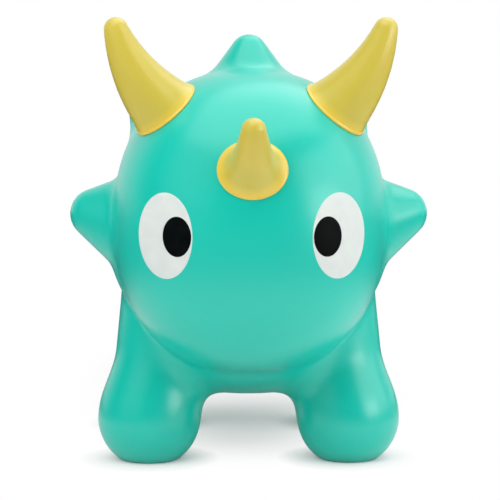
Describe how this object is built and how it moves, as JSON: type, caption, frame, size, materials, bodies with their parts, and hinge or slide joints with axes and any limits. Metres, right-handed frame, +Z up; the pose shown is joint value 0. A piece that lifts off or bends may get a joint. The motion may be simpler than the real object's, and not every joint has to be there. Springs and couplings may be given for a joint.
{
  "type": "dinosaur hopper",
  "caption": "Inflatable ride-on hopping toy shaped as a rounded horned dinosaur, with curved grip horns, printed eyes, stubby legs and a pull-out air plug in the belly.",
  "frame": {"origin": "on the floor under the middle of the toy's bounding box", "axes": "+Z up, the face looks to -Y, +X is to the right as the face is seen"},
  "size_m": [0.386, 0.5774, 0.4809],
  "materials": {
    "skin": "satin soft vinyl",
    "horn": "satin soft vinyl",
    "eye_white": "satin film",
    "pupil": "satin film",
    "valve": "satin"
  },
  "bodies": {
    "toy": {"body_skin": "skin", "nose_horn": "horn", "brow_horn_left": "horn", "brow_horn_right": "horn", "eye_white_left": "eye_white", "eye_white_right": "eye_white", "pupil_left": "pupil", "pupil_right": "pupil", "valve_seat": "valve"},
    "plug": {"valve_plug": "valve"}
  },
  "joints": [
    {"name": "valve_plug_pull", "type": "slide", "parent": "toy", "child": "plug", "axis": [0, 0, -1], "range_m": [0, 0.03]}
  ]
}
